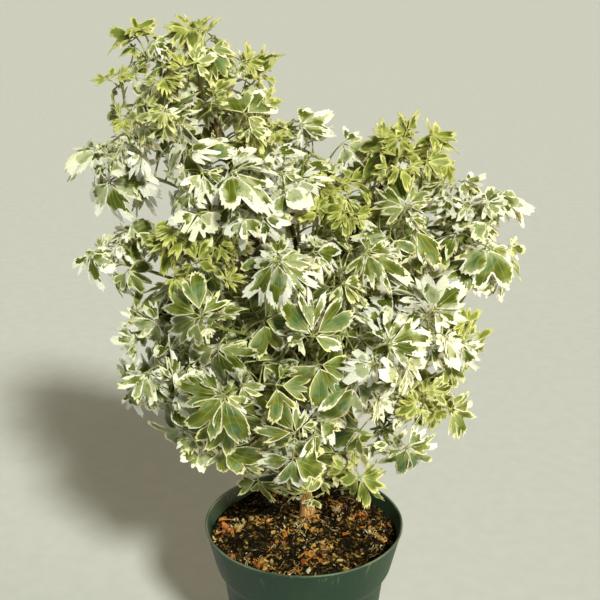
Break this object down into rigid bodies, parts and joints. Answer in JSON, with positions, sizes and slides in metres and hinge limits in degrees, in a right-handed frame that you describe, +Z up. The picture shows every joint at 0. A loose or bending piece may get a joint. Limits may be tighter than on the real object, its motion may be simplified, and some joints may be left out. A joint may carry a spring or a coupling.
{
  "type": "potted ming aralia",
  "caption": "Bushy house plant with cream-edged, toothed compound leaves on branching woody limbs, rooted in soil in a round plastic nursery pot with a deep collar.",
  "frame": {"origin": "centre of the pot's flat base, where it stands", "axes": "+Z up along the pot's axis, -Y towards the viewer of the picture, +X to the viewer's right"},
  "size_m": [0.324, 0.2433, 0.5181],
  "materials": {
    "pot": "satin",
    "soil": "matte, moist bark and peat",
    "bark": "rough",
    "leaf": "satin",
    "young_leaf": "satin"
  },
  "bodies": {
    "root": {"pot": "pot", "soil": "soil", "trunk_and_limbs": "bark", "leafy_stem_crown_left": "young_leaf", "leafy_stem_crown_top": "young_leaf", "leafy_stem_crown_right": "leaf", "leafy_stem_crown_front": "leaf", "leafy_stem_left_hanging": "leaf", "leafy_stem_white_fan": "leaf", "leafy_stem_middle_top": "leaf", "leafy_stem_middle_young": "young_leaf", "leafy_stem_right_top": "young_leaf", "leafy_stem_right_hanging": "leaf", "leafy_stem_right_hanging_low": "leaf", "leafy_stem_right_upper": "leaf", "leafy_stem_left_young": "young_leaf", "leafy_stem_left_long": "leaf", "leafy_stem_middle_left": "leaf", "leafy_stem_middle_right": "leaf", "leafy_stem_left_outer": "leaf", "leafy_stem_left_outer_low": "leaf", "leafy_stem_front_left": "leaf", "leafy_stem_front_left_low": "leaf", "leafy_stem_front_middle": "leaf", "leafy_stem_front_right": "leaf", "leafy_stem_right_front": "leaf", "leafy_stem_right_outer": "young_leaf", "leafy_stem_right_outer_low": "young_leaf", "leafy_stem_low_right": "leaf", "leafy_stem_low_left": "leaf", "leafy_stem_low_front": "leaf", "leafy_stem_foot_left": "leaf", "leafy_stem_foot_middle": "leaf", "leafy_stem_foot_right": "leaf", "leafy_stem_back_crown": "leaf", "leafy_stem_back_top": "leaf", "leafy_stem_back_right_top": "leaf", "leafy_stem_back_left_top": "leaf", "leafy_stem_back_middle": "leaf", "leafy_stem_back_right": "leaf", "leafy_stem_back_left": "leaf", "leafy_stem_back_middle_left": "leaf", "leafy_stem_back_middle_right": "leaf", "leafy_stem_back_low_right": "leaf", "leafy_stem_back_low": "leaf", "leafy_stem_back_low_left": "leaf"}
  },
  "joints": []
}
